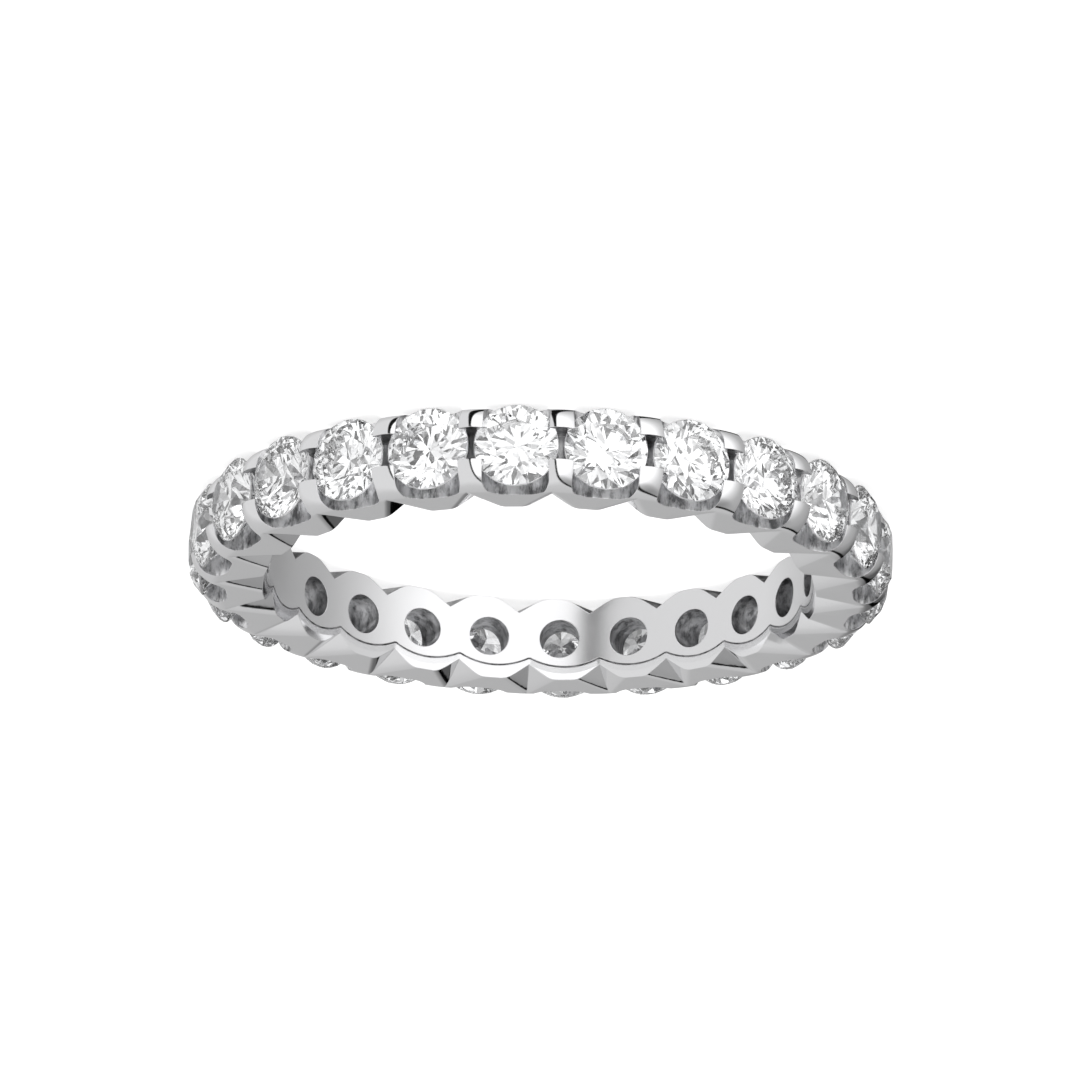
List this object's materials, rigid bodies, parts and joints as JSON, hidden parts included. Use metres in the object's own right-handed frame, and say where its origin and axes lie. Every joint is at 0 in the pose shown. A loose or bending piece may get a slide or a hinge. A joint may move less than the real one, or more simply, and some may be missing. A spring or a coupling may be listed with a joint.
{
  "type": "eternity ring",
  "caption": "Full eternity ring lying on its side: a narrow white-metal band with equal round brilliants all the way round, each over a cross channel, held by shared claws.",
  "frame": {"origin": "on the finger axis, in the plane of the lower side face that the ring lies on", "axes": "+Z along the finger axis, up; +X through the middle of stone_01"},
  "size_m": [0.0218, 0.0218, 0.0027],
  "materials": {
    "white_metal": "polished and rhodium-plated white gold",
    "diamond": "polished facets, colourless"
  },
  "bodies": {
    "root": {"band": "white_metal", "stone_01": "diamond", "stone_02": "diamond", "stone_03": "diamond", "stone_04": "diamond", "stone_05": "diamond", "stone_06": "diamond", "stone_07": "diamond", "stone_08": "diamond", "stone_09": "diamond", "stone_10": "diamond", "stone_11": "diamond", "stone_12": "diamond", "stone_13": "diamond", "stone_14": "diamond", "stone_15": "diamond", "stone_16": "diamond", "stone_17": "diamond", "stone_18": "diamond", "stone_19": "diamond", "stone_20": "diamond", "stone_21": "diamond", "stone_22": "diamond", "stone_23": "diamond", "stone_24": "diamond"}
  },
  "joints": []
}
